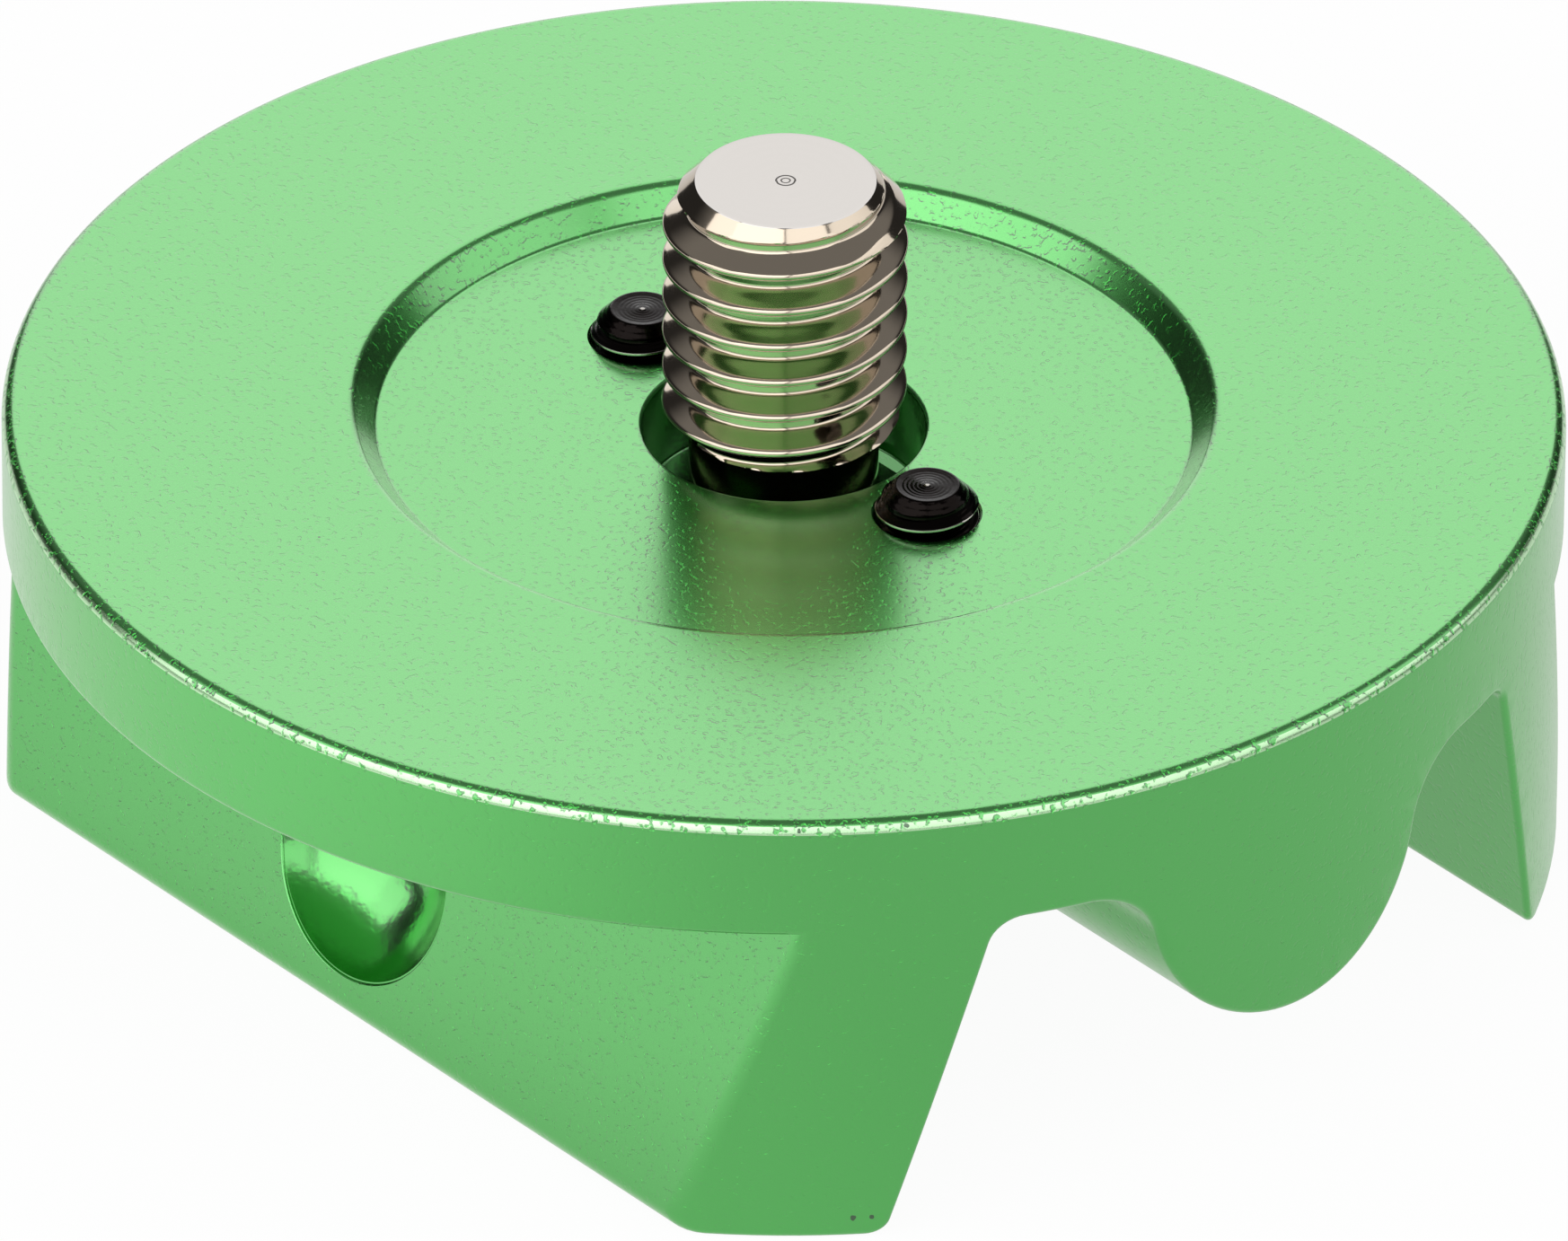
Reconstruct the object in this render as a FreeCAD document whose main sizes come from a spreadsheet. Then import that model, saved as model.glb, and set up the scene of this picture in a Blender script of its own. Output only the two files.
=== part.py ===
import FreeCAD, Part
import math
import os
import Sketcher

# Ball head adapter: a round plate with a threaded stud on top and a dovetail foot below.
# Frame: +Z up along the stud, +X along the dovetail, origin under the stud at the foot's lower face.
# The clamp screw's dimple is in the flank that faces -Y. Lengths are millimetres, angles degrees.

SIZES = (
    # Round plate
    ("plate_radius", 30.0),
    ("plate_height", 18.6),
    ("flange_thickness", 5.0),
    ("top_rim_round", 0.55),
    ("flange_edge_chamfer", 0.25),
    # Recess and bore in the top face
    ("recess_rim_radius", 16.6),
    ("recess_floor_radius", 15.65),
    ("recess_depth", 1.05),
    ("recess_edge_chamfer", 0.15),
    ("bore_radius", 5.45),
    ("bore_depth", 4.7),
    ("bore_edge_chamfer", 0.15),
    # Dovetail foot: half widths are taken where the flanks meet the flange, and shares are of that half width
    ("dovetail_half_width", 19.15),
    ("dovetail_lean", 15.0),
    ("leg_share", 0.3368),
    ("leg_corner_round", 1.3),
    ("foot_edge_round", 0.9),
    # Rib between the two channels, which holds the three screws
    ("rib_share", 0.3446),
    ("rib_centre_depth", 6.05),
    ("rib_root_round", 3.0),
    ("relief_half_width", 4.8),
    ("relief_half_length", 4.0),
    ("relief_reach", 9.6),
    ("relief_corner_round", 2.0),
    # Round dimple in the flank, for the tip of a clamp screw
    ("dimple_sphere_radius", 5.3),
    ("dimple_depth", 2.75),
    ("dimple_centre_depth", 12.3),
    # Stud: 3/8 inch thread above a neck, and a smaller thread that holds it in the rib
    ("stud_thread_radius", 4.7),
    ("stud_tip_radius", 3.5),
    ("stud_standout", 9.9),
    ("stud_tip_chamfer", 1.25),
    ("stud_thread_start_depth", 0.35),
    ("stud_neck_radius", 3.65),
    ("stud_neck_chamfer", 0.6),
    ("stud_shank_radius", 4.0),
    ("stud_end_inset", 0.6),
    ("stud_key_width", 4.0),
    ("stud_key_depth", 4.0),
    ("thread_clearance", 0.05),
    # Two M4 set screws, set on the rib's centre line
    ("set_screw_radius", 2.0),
    ("set_screw_length", 12.0),
    ("set_screw_spacing", 8.35),
    ("set_screw_standout", 0.2),
    ("set_screw_tip_radius", 1.27),
    ("set_screw_tip_height", 0.75),
    ("set_screw_key_width", 2.0),
    ("set_screw_key_depth", 2.2),
    ("set_screw_hole_chamfer", 0.1),
)

DERIVED = (
    ("leg_thickness", "=dovetail_half_width * leg_share"),
    ("rib_radius", "=dovetail_half_width * rib_share"),
    ("foot_height", "=plate_height - flange_thickness"),
    ("flank_bottom", "=dovetail_half_width + foot_height * tan(dovetail_lean)"),
    ("foot_root_height", "=foot_height + flange_edge_chamfer + 0.2"),
    ("foot_blank_length", "=plate_radius * 2 + 10"),
    ("inner_top", "=dovetail_half_width - leg_thickness"),
    ("inner_bottom", "=inner_top + foot_height * tan(dovetail_lean)"),
    ("recess_floor_height", "=plate_height - recess_depth"),
    ("bore_floor_height", "=plate_height - bore_depth"),
    ("rib_centre_height", "=plate_height - rib_centre_depth"),
    ("rib_bottom_height", "=rib_centre_height - rib_radius"),
    ("rib_root_height", "=foot_height - rib_root_round"),
    ("rib_root_offset", "=sqrt((rib_radius + rib_root_round)^2 - (rib_root_height - rib_centre_height)^2)"),
    ("leg_corner_height", "=foot_height - leg_corner_round"),
    ("leg_corner_offset", "=inner_top + leg_corner_round * (tan(dovetail_lean) - 1 / cos(dovetail_lean))"),
    ("flank_angle_right", "=90 + dovetail_lean"),
    ("flank_angle_left", "=90 - dovetail_lean"),
    ("trim_radius", "=plate_radius * 2"),
    ("dimple_height", "=plate_height - dimple_centre_depth"),
    ("dimple_standoff", "=dimple_sphere_radius - dimple_depth"),
    ("dimple_sphere_offset", "=dovetail_half_width + (foot_height - dimple_height) * tan(dovetail_lean)"
                             " + dimple_standoff * cos(dovetail_lean)"),
    ("dimple_sphere_height", "=dimple_height + dimple_standoff * sin(dovetail_lean)"),
    ("stud_top", "=plate_height + stud_standout"),
    ("stud_chamfer_bottom", "=stud_top - stud_tip_chamfer"),
    ("stud_thread_bottom", "=plate_height - stud_thread_start_depth"),
    ("stud_neck_top", "=stud_thread_bottom - stud_neck_chamfer"),
    ("stud_bottom", "=rib_bottom_height + stud_end_inset"),
    ("stud_hole_radius", "=stud_shank_radius + thread_clearance"),
    ("set_screw_top", "=plate_height + set_screw_standout"),
    ("set_screw_shoulder", "=set_screw_top - set_screw_tip_height"),
    ("set_screw_bottom", "=set_screw_top - set_screw_length"),
    ("set_screw_hole_radius", "=set_screw_radius + thread_clearance"),
)

NEAR = 1e-4


def make_sheet(doc):
    """Puts every size in the sheet, the driving ones first, and gives each its alias."""
    sheet = doc.addObject("Spreadsheet::Sheet", "Sizes")
    for row, (name, content) in enumerate(SIZES + DERIVED, start=1):
        sheet.set(f"A{row}", name)
        sheet.set(f"B{row}", str(content))
        sheet.setAlias(f"B{row}", name)
    doc.recompute()
    return sheet


doc = FreeCAD.newDocument("ball_head_adapter")
sheet = make_sheet(doc)


def size(name):
    """The value of a named size. A leading minus turns its sign, and 0 stays 0."""
    if name == "0":
        return 0.0
    if name.startswith("-"):
        return -float(sheet.get(name[1:]))
    return float(sheet.get(name))


def formula(name):
    """The expression that binds a property to a named size."""
    if name.startswith("-"):
        return f"-Sizes.{name[1:]}"
    return f"Sizes.{name}"


def bind(feature, prop, name):
    feature.setExpression(prop, formula(name))


def new_body(label):
    body = doc.addObject("PartDesign::Body", label)
    body.Label = label
    return body


def new_sketch(body, name, plane, height="0"):
    """A sketch on one of the body's origin planes, lifted off it by a named height."""
    sketch = body.newObject("Sketcher::SketchObject", name)
    support = next(item for item in body.Origin.OriginFeatures if item.Role == plane)
    sketch.AttachmentSupport = (support, [""])
    sketch.MapMode = "FlatFace"
    if height != "0":
        bind(sketch, "AttachmentOffset.Base.z", height)
    doc.recompute()
    return sketch


def fix_coordinate(sketch, kind, geometry, point, name):
    """Holds one coordinate of a point at a named size."""
    if name == "0":
        axis = -2 if kind == "DistanceX" else -1
        sketch.addConstraint(Sketcher.Constraint("PointOnObject", geometry, point, axis))
        return
    index = sketch.addConstraint(Sketcher.Constraint(kind, -1, 1, geometry, point, size(name)))
    sketch.setExpression(f"Constraints[{index}]", formula(name))


def fix_value(sketch, kind, geometry, name, unit=""):
    """Holds a radius or an angle at a named size."""
    value = math.radians(size(name)) if kind == "Angle" else size(name)
    index = sketch.addConstraint(Sketcher.Constraint(kind, geometry, value))
    sketch.setExpression(f"Constraints[{index}]", formula(name) + unit)


def add_polygon(sketch, corners):
    """A closed outline of straight lines through corners given as two named sizes each."""
    points = [FreeCAD.Vector(size(x), size(y), 0) for x, y in corners]
    lines = [sketch.addGeometry(Part.LineSegment(start, end))
             for start, end in zip(points, points[1:] + points[:1])]
    for line, following in zip(lines, lines[1:] + lines[:1]):
        sketch.addConstraint(Sketcher.Constraint("Coincident", line, 2, following, 1))
    for line, (x, y) in zip(lines, corners):
        fix_coordinate(sketch, "DistanceX", line, 1, x)
        fix_coordinate(sketch, "DistanceY", line, 1, y)


def add_circle(sketch, radius, x="0", y="0"):
    centre = FreeCAD.Vector(size(x), size(y), 0)
    circle = sketch.addGeometry(Part.Circle(centre, FreeCAD.Vector(0, 0, 1), size(radius)))
    fix_coordinate(sketch, "DistanceX", circle, 3, x)
    fix_coordinate(sketch, "DistanceY", circle, 3, y)
    fix_value(sketch, "Radius", circle, radius)


def add_hexagon(sketch, across_flats, x="0"):
    """A hexagon whose flats touch a construction circle."""
    half = size(across_flats) / 2
    reach = half / math.cos(math.radians(30))
    centre = FreeCAD.Vector(size(x), 0, 0)
    turns = [math.radians(60 * step) for step in range(6)]
    points = [centre + FreeCAD.Vector(reach * math.cos(turn), reach * math.sin(turn), 0) for turn in turns]
    circle = sketch.addGeometry(Part.Circle(centre, FreeCAD.Vector(0, 0, 1), half), True)
    fix_coordinate(sketch, "DistanceX", circle, 3, x)
    fix_coordinate(sketch, "DistanceY", circle, 3, "0")
    index = sketch.addConstraint(Sketcher.Constraint("Diameter", circle, 2 * half))
    sketch.setExpression(f"Constraints[{index}]", formula(across_flats))
    lines = [sketch.addGeometry(Part.LineSegment(start, end))
             for start, end in zip(points, points[1:] + points[:1])]
    for line, following in zip(lines, lines[1:] + lines[:1]):
        sketch.addConstraint(Sketcher.Constraint("Coincident", line, 2, following, 1))
        sketch.addConstraint(Sketcher.Constraint("Tangent", line, circle))
    for line in lines[1:]:
        sketch.addConstraint(Sketcher.Constraint("Equal", lines[0], line))
    sketch.addConstraint(Sketcher.Constraint("Horizontal", lines[1]))


def pad(body, name, sketch, length, both_ways=False):
    feature = body.newObject("PartDesign::Pad", name)
    feature.Profile = sketch
    if both_ways:
        feature.SideType = "Symmetric"
    bind(feature, "Length", length)
    doc.recompute()
    return feature


def pocket(body, name, sketch, length=None, both_ways=False, upwards=False):
    """A pocket of a named depth, or through everything. It must take some volume away."""
    before = body.Shape.Volume
    feature = body.newObject("PartDesign::Pocket", name)
    feature.Profile = sketch
    feature.Reversed = upwards
    if both_ways:
        feature.SideType = "Symmetric"
    if length is None:
        feature.Type = "ThroughAll"
    else:
        bind(feature, "Length", length)
    doc.recompute()
    if body.Shape.Volume >= before:
        raise RuntimeError(f"{name} takes nothing away")
    return feature


def turned(body, kind, name, sketch):
    """A revolution or a groove, all the way round the Z axis."""
    feature = body.newObject(kind, name)
    feature.Profile = sketch
    feature.ReferenceAxis = (sketch, ["V_Axis"])
    feature.Angle = 360
    doc.recompute()
    return feature


def repeat_across(body, name, feature, plane):
    """Mirrors one feature across one of the body's origin planes."""
    mirror = body.newObject("PartDesign::Mirrored", name)
    mirror.Originals = [feature]
    mirror.MirrorPlane = (next(item for item in body.Origin.OriginFeatures if item.Role == plane), [""])
    body.Tip = mirror
    doc.recompute()
    return mirror


def dress_edges(body, kind, name, amount, wanted):
    """Rounds or chamfers each edge of the body for which wanted(edge) is true."""
    base = body.Tip
    names = [f"Edge{number}" for number, edge in enumerate(base.Shape.Edges, start=1) if wanted(edge)]
    if not names:
        raise RuntimeError(f"{name} finds no edge")
    feature = body.newObject(kind, name)
    feature.Base = (base, names)
    bind(feature, "Size" if kind.endswith("Chamfer") else "Radius", amount)
    doc.recompute()
    return feature


def points_of(edge):
    """Points along an edge, its ends among them."""
    first, last = edge.ParameterRange
    return [edge.valueAt(first + (last - first) * step / 4) for step in range(5)]


def at_height(edge, height):
    return all(abs(point.z - height) < NEAR for point in points_of(edge))


def at_radius(edge, radius):
    return all(abs(math.hypot(point.x, point.y) - radius) < NEAR for point in points_of(edge))


def upright(edge):
    start, *_, end = points_of(edge)
    return math.hypot(start.x - end.x, start.y - end.y) < NEAR


def at_point(edge, x, y):
    """True for an edge over the point x, y or over its mirror images."""
    point = points_of(edge)[0]
    return abs(abs(point.x) - x) < NEAR and abs(abs(point.y) - y) < NEAR


def along_x(edge):
    start, *_, end = points_of(edge)
    return abs(start.y - end.y) < NEAR and abs(start.z - end.z) < NEAR and abs(start.x - end.x) > 1


def add_channel_outline(sketch):
    """The open space between the legs: two arched channels with the rib's round bottom between them."""
    lean = math.radians(size("dovetail_lean"))
    top = size("foot_height")
    rib_centre = FreeCAD.Vector(0, size("rib_centre_height"), 0)
    upwards = FreeCAD.Vector(0, 0, 1)

    def side(sign):
        """Flank, leg corner, ceiling and rib root of one channel, from the bottom to the rib."""
        corner = FreeCAD.Vector(sign * size("leg_corner_offset"), size("leg_corner_height"), 0)
        root = FreeCAD.Vector(sign * size("rib_root_offset"), size("rib_root_height"), 0)
        to_flank = FreeCAD.Vector(sign * math.cos(lean), math.sin(lean), 0)
        flank_top = corner + to_flank * size("leg_corner_round")
        flank_foot = FreeCAD.Vector(sign * size("inner_bottom"), 0, 0)
        to_rib = (rib_centre - root).normalize()
        turn_flank = math.atan2(to_flank.y, to_flank.x)
        turn_rib = math.atan2(to_rib.y, to_rib.x)
        corner_circle = Part.Circle(corner, upwards, size("leg_corner_round"))
        root_circle = Part.Circle(root, upwards, size("rib_root_round"))
        quarter = math.pi / 2
        if sign > 0:
            corner_arc = Part.ArcOfCircle(corner_circle, turn_flank, quarter)
            root_arc = Part.ArcOfCircle(root_circle, quarter, turn_rib % (2 * math.pi))
        else:
            corner_arc = Part.ArcOfCircle(corner_circle, quarter, turn_flank)
            root_arc = Part.ArcOfCircle(root_circle, turn_rib, quarter)
        flank = sketch.addGeometry(Part.LineSegment(flank_foot, flank_top))
        corner_id = sketch.addGeometry(corner_arc)
        ceiling = sketch.addGeometry(Part.LineSegment(FreeCAD.Vector(corner.x, top, 0),
                                                      FreeCAD.Vector(root.x, top, 0)))
        root_id = sketch.addGeometry(root_arc)
        # An arc runs anticlockwise, so the ends that meet swap between the two sides
        first, last = (1, 2) if sign > 0 else (2, 1)
        sketch.addConstraint(Sketcher.Constraint("Tangent", flank, 2, corner_id, first))
        sketch.addConstraint(Sketcher.Constraint("Tangent", corner_id, last, ceiling, 1))
        sketch.addConstraint(Sketcher.Constraint("Tangent", ceiling, 2, root_id, first))
        sketch.addConstraint(Sketcher.Constraint("Horizontal", ceiling))
        fix_coordinate(sketch, "DistanceY", ceiling, 1, "foot_height")
        fix_coordinate(sketch, "DistanceY", flank, 1, "0")
        fix_coordinate(sketch, "DistanceX", flank, 1, "inner_bottom" if sign > 0 else "-inner_bottom")
        fix_value(sketch, "Angle", flank, "flank_angle_right" if sign > 0 else "flank_angle_left", " * 1 deg")
        fix_value(sketch, "Radius", corner_id, "leg_corner_round")
        fix_value(sketch, "Radius", root_id, "rib_root_round")
        return flank, root_id, last, turn_rib

    right_flank, right_root, right_end, right_turn = side(1)
    left_flank, left_root, left_end, left_turn = side(-1)
    rib_circle = Part.Circle(rib_centre, upwards, size("rib_radius"))
    rib = sketch.addGeometry(Part.ArcOfCircle(rib_circle, left_turn + math.pi, right_turn + math.pi))
    sketch.addConstraint(Sketcher.Constraint("Tangent", left_root, left_end, rib, 1))
    sketch.addConstraint(Sketcher.Constraint("Tangent", right_root, right_end, rib, 2))
    fix_coordinate(sketch, "DistanceX", rib, 3, "0")
    fix_coordinate(sketch, "DistanceY", rib, 3, "rib_centre_height")
    fix_value(sketch, "Radius", rib, "rib_radius")
    bottom = sketch.addGeometry(Part.LineSegment(FreeCAD.Vector(-size("inner_bottom"), 0, 0),
                                                 FreeCAD.Vector(size("inner_bottom"), 0, 0)))
    sketch.addConstraint(Sketcher.Constraint("Coincident", bottom, 1, left_flank, 1))
    sketch.addConstraint(Sketcher.Constraint("Coincident", bottom, 2, right_flank, 1))


def make_adapter_plate():
    body = new_body("adapter_plate")

    circle = new_sketch(body, "flange_circle", "XY_Plane", "foot_height")
    add_circle(circle, "plate_radius")
    pad(body, "flange", circle, "flange_thickness")
    underside = size("foot_height")
    dress_edges(body, "PartDesign::Chamfer", "flange_edge", "flange_edge_chamfer",
                lambda edge: at_height(edge, underside))

    # The foot reaches a little into the flange, past the flange's chamfered lower edge
    section = new_sketch(body, "dovetail_section", "YZ_Plane")
    add_polygon(section, (("-flank_bottom", "0"), ("flank_bottom", "0"),
                          ("dovetail_half_width", "foot_height"), ("dovetail_half_width", "foot_root_height"),
                          ("-dovetail_half_width", "foot_root_height"), ("-dovetail_half_width", "foot_height")))
    pad(body, "dovetail", section, "foot_blank_length", both_ways=True)
    channels = new_sketch(body, "channel_section", "YZ_Plane")
    add_channel_outline(channels)
    pocket(body, "channels", channels, both_ways=True)
    dress_edges(body, "PartDesign::Fillet", "foot_edges", "foot_edge_round",
                lambda edge: at_height(edge, 0) and along_x(edge))
    ring = new_sketch(body, "trim_ring", "XY_Plane")
    add_circle(ring, "plate_radius")
    add_circle(ring, "trim_radius")
    pocket(body, "round_trim", ring, both_ways=True)
    radius = size("plate_radius")

    # Top face: the rim, the shallow round recess and the bore
    recess = new_sketch(body, "recess_section", "XZ_Plane")
    add_polygon(recess, (("0", "recess_floor_height"), ("recess_floor_radius", "recess_floor_height"),
                         ("recess_rim_radius", "plate_height"), ("0", "plate_height")))
    turned(body, "PartDesign::Groove", "recess", recess)
    bore = new_sketch(body, "bore_circle", "XY_Plane", "bore_floor_height")
    add_circle(bore, "bore_radius")
    pocket(body, "bore", bore, "bore_depth", upwards=True)
    top = size("plate_height")
    floor = size("recess_floor_height")
    dress_edges(body, "PartDesign::Fillet", "rim_edge", "top_rim_round",
                lambda edge: at_height(edge, top) and at_radius(edge, radius))
    dress_edges(body, "PartDesign::Chamfer", "recess_edges", "recess_edge_chamfer",
                lambda edge: at_radius(edge, size("recess_rim_radius")) or at_radius(edge, size("recess_floor_radius")))
    dress_edges(body, "PartDesign::Chamfer", "bore_edge", "bore_edge_chamfer",
                lambda edge: at_height(edge, floor) and at_radius(edge, size("bore_radius")))

    # Relief pockets, milled from below beside the rib up to the floor of the bore
    relief = new_sketch(body, "relief_outline", "XY_Plane")
    add_polygon(relief, (("-relief_half_length", "relief_half_width"), ("relief_half_length", "relief_half_width"),
                         ("relief_half_length", "relief_reach"), ("-relief_half_length", "relief_reach")))
    right_relief = pocket(body, "relief", relief, "bore_floor_height", upwards=True)
    repeat_across(body, "other_relief", right_relief, "XZ_Plane")
    dress_edges(body, "PartDesign::Fillet", "relief_corners", "relief_corner_round",
                lambda edge: upright(edge) and at_point(edge, size("relief_half_length"), size("relief_reach")))

    # Holes through the rib for the stud and the two set screws
    stud_hole = new_sketch(body, "stud_hole_circle", "XY_Plane")
    add_circle(stud_hole, "stud_hole_radius")
    pocket(body, "stud_hole", stud_hole, both_ways=True)
    hole_length = 2 * math.pi * size("set_screw_hole_radius")
    screw_hole = new_sketch(body, "set_screw_hole_circle", "XY_Plane")
    add_circle(screw_hole, "set_screw_hole_radius", x="set_screw_spacing")
    front_hole = pocket(body, "set_screw_hole", screw_hole, both_ways=True)
    repeat_across(body, "other_set_screw_hole", front_hole, "YZ_Plane")
    dress_edges(body, "PartDesign::Chamfer", "set_screw_hole_chamfers", "set_screw_hole_chamfer",
                lambda edge: at_height(edge, floor) and abs(edge.Length - hole_length) < NEAR)

    # The dimple's axis is square to the flank, so the ball's centre stands off along the flank's normal
    dimple = body.newObject("PartDesign::SubtractiveSphere", "dimple")
    bind(dimple, "Radius", "dimple_sphere_radius")
    bind(dimple, "Placement.Base.y", "-dimple_sphere_offset")
    bind(dimple, "Placement.Base.z", "dimple_sphere_height")
    doc.recompute()
    return body


def make_stud():
    body = new_body("stud")
    outline = new_sketch(body, "stud_outline", "XZ_Plane")
    add_polygon(outline, (("0", "stud_bottom"), ("stud_shank_radius", "stud_bottom"),
                          ("stud_shank_radius", "bore_floor_height"), ("stud_neck_radius", "bore_floor_height"),
                          ("stud_neck_radius", "stud_neck_top"), ("stud_thread_radius", "stud_thread_bottom"),
                          ("stud_thread_radius", "stud_chamfer_bottom"), ("stud_tip_radius", "stud_top"),
                          ("0", "stud_top")))
    turned(body, "PartDesign::Revolution", "stud_turning", outline)
    key = new_sketch(body, "stud_key_outline", "XY_Plane", "stud_bottom")
    add_hexagon(key, "stud_key_width")
    pocket(body, "stud_key", key, "stud_key_depth", upwards=True)
    return body


def make_set_screw(label, side):
    """An M4 set screw with a flat-ended cone on top and a hexagon socket below."""
    body = new_body(label)
    outline = new_sketch(body, label + "_outline", "XZ_Plane")
    add_polygon(outline, (("0", "set_screw_bottom"), ("set_screw_radius", "set_screw_bottom"),
                          ("set_screw_radius", "set_screw_shoulder"), ("set_screw_tip_radius", "set_screw_top"),
                          ("0", "set_screw_top")))
    turned(body, "PartDesign::Revolution", label + "_turning", outline)
    key = new_sketch(body, label + "_key_outline", "XY_Plane", "set_screw_bottom")
    add_hexagon(key, "set_screw_key_width")
    pocket(body, label + "_key", key, "set_screw_key_depth", upwards=True)
    bind(body, "Placement.Base.x", side)
    doc.recompute()
    return body


def main():
    make_adapter_plate()
    make_stud()
    make_set_screw("set_screw_front", "set_screw_spacing")
    make_set_screw("set_screw_rear", "-set_screw_spacing")
    for item in doc.Objects:
        if "Invalid" in item.State or "Error" in item.State:
            raise RuntimeError(f"{item.Name} is {item.State}")
    os.makedirs("parts", exist_ok=True)
    for body in doc.findObjects("PartDesign::Body"):
        if body.Shape.isNull() or not body.Shape.isValid():
            raise RuntimeError(f"{body.Label} has no valid shape")
        body.Shape.exportStep(f"parts/{body.Label}.step")
        print(body.Label, len(body.Shape.Solids), round(body.Shape.Volume, 3))


main()
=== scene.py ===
import math

import bmesh
import bpy
from mathutils import Matrix, Vector
from mathutils.geometry import delaunay_2d_cdt


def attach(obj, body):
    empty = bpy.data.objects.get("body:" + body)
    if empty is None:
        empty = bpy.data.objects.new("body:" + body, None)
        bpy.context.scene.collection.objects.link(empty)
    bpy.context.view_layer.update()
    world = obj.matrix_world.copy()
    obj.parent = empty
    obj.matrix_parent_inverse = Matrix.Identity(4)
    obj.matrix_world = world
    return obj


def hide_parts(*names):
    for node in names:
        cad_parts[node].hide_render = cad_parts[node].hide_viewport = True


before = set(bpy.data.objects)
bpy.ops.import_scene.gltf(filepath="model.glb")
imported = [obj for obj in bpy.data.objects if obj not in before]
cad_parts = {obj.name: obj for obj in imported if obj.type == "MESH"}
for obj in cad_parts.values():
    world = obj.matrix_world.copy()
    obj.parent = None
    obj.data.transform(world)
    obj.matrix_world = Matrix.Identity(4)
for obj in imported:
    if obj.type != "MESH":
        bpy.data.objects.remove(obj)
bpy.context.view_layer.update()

# A ball head adapter: a green anodised plate on a dovetail foot, a bright stud and two black set screws.
# Lengths are millimetres until a mesh is made, heights are above the foot's lower face.
# +X runs along the dovetail and the dimpled flank faces -Y.

MM = 0.001

PLATE_RADIUS = 30.0
PLATE_TOP = 18.6
UNDERSIDE = 13.6
TOP_RIM_ROUND = 0.55
SOFT_EDGE = 0.32
RECESS_RIM_RADIUS = 16.6
RECESS_RIM_ROUND = 0.6
RECESS_FLOOR_RADIUS = 15.65
RECESS_FLOOR = PLATE_TOP - 1.05
RECESS_FLOOR_ROUND = 0.3
BORE_RADIUS = 5.45
BORE_RIM_ROUND = 0.2
BORE_FLOOR = PLATE_TOP - 4.7
BORE_FLOOR_ROUND = 0.15
LEAN = math.radians(15)
FLANK_TOP = 19.15
LEG_THICKNESS = 6.45
LEG_CORNER_ROUND = 1.3
FOOT_EDGE_ROUND = 0.9
RIB_RADIUS = 6.6
RIB_CENTRE = PLATE_TOP - 6.05
RIB_ROOT_ROUND = 3.0
RELIEF_HALF_LENGTH = 4.0
RELIEF_INNER = 4.8
RELIEF_OUTER = 9.6
RELIEF_ROUND = 2.0
DIMPLE_CENTRE = PLATE_TOP - 12.3
DIMPLE_RADIUS = 5.3
DIMPLE_DEPTH = 2.75
DIMPLE_LIP = 0.14

# Small marks of use: place and radius
NICKS = [(-4.0, -19.9, 18.6, 0.1), (-2.0, -21.7, 18.6, 0.09), (-5.5, -16.7, 18.6, 0.09),
         (23.1, -19.2, 18.4, 0.3), (25.4, -15.9, 18.4, 0.24), (27.1, 12.8, 11.7, 0.16),
         (26.9, 13.3, 9.9, 0.13), (26.7, 13.6, 7.1, 0.16), (24.4, -17.5, 0.9, 0.22),
         (24.8, -16.9, 0.9, 0.16)]

FIT_CLEARANCE = 0.05

STUD_TOP = PLATE_TOP + 9.9
STUD_CREST = 4.7
STUD_ROOT = 3.78
STUD_PITCH = 25.4 / 16
STUD_TIP = 3.5
STUD_TIP_CHAMFER = 1.25
STUD_NECK = 3.65
STUD_THREAD_BOTTOM = 17.65
STUD_NECK_CHAMFER = 0.6
STUD_SHANK = 4.0
STUD_BOTTOM = 6.55
STUD_KEY = 4.0
STUD_KEY_DEPTH = 4.0

SET_SCREW_PLACES = {"set_screw_front": 8.35, "set_screw_rear": -8.35}
SET_SCREW_TOP = PLATE_TOP + 0.2
SET_SCREW_LENGTH = 12.0
SET_SCREW_CREST = 2.0
SET_SCREW_ROOT = 1.6
SET_SCREW_PITCH = 0.7
SET_SCREW_TIP = 1.27
SET_SCREW_TIP_CHAMFER = 0.75
SET_SCREW_KEY = 2.0
SET_SCREW_KEY_DEPTH = 2.2
SET_SCREW_HOLE = SET_SCREW_CREST + FIT_CLEARANCE
SET_SCREW_HOLE_MOUTH = 2.13

ROUND_FACETS = 360
DIMPLE_FACETS = 120
HOLE_FACETS = 72
STUD_FACETS = 132
SET_SCREW_FACETS = 96
STUD_ROWS_PER_PITCH = 32
SET_SCREW_ROWS_PER_PITCH = 16
EDGE_STEPS = 5
LONGEST_STRETCH = 0.7
# The outer wall's inner points: columns round the plate, heights of the rows, and room left to the border
WALL_COLUMNS = 180
WALL_ROWS = (1.2, 2.6, 4, 5.4, 6.8, 8.2, 9.6, 11, 12.4, 13.8, 15.2, 16.6)
WALL_MARGIN = 0.45
SEAM_STEPS = 8
MEETING_DISTANCE = 0.002
SLIVER_LENGTH = 0.0005
# The hole cutters start this far under the foot, and the relief's goes a little into the bore
BELOW_FOOT = -2
INTO_BORE = 0.02


# Shapes

def piece_from(mesh_data, name):
    """Links a bmesh, given in millimetres, as a new piece in metres."""
    mesh = bpy.data.meshes.new(name)
    mesh_data.transform(Matrix.Scale(MM, 4))
    mesh_data.to_mesh(mesh)
    mesh_data.free()
    piece = bpy.data.objects.new(name, mesh)
    bpy.context.scene.collection.objects.link(piece)
    return piece


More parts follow.
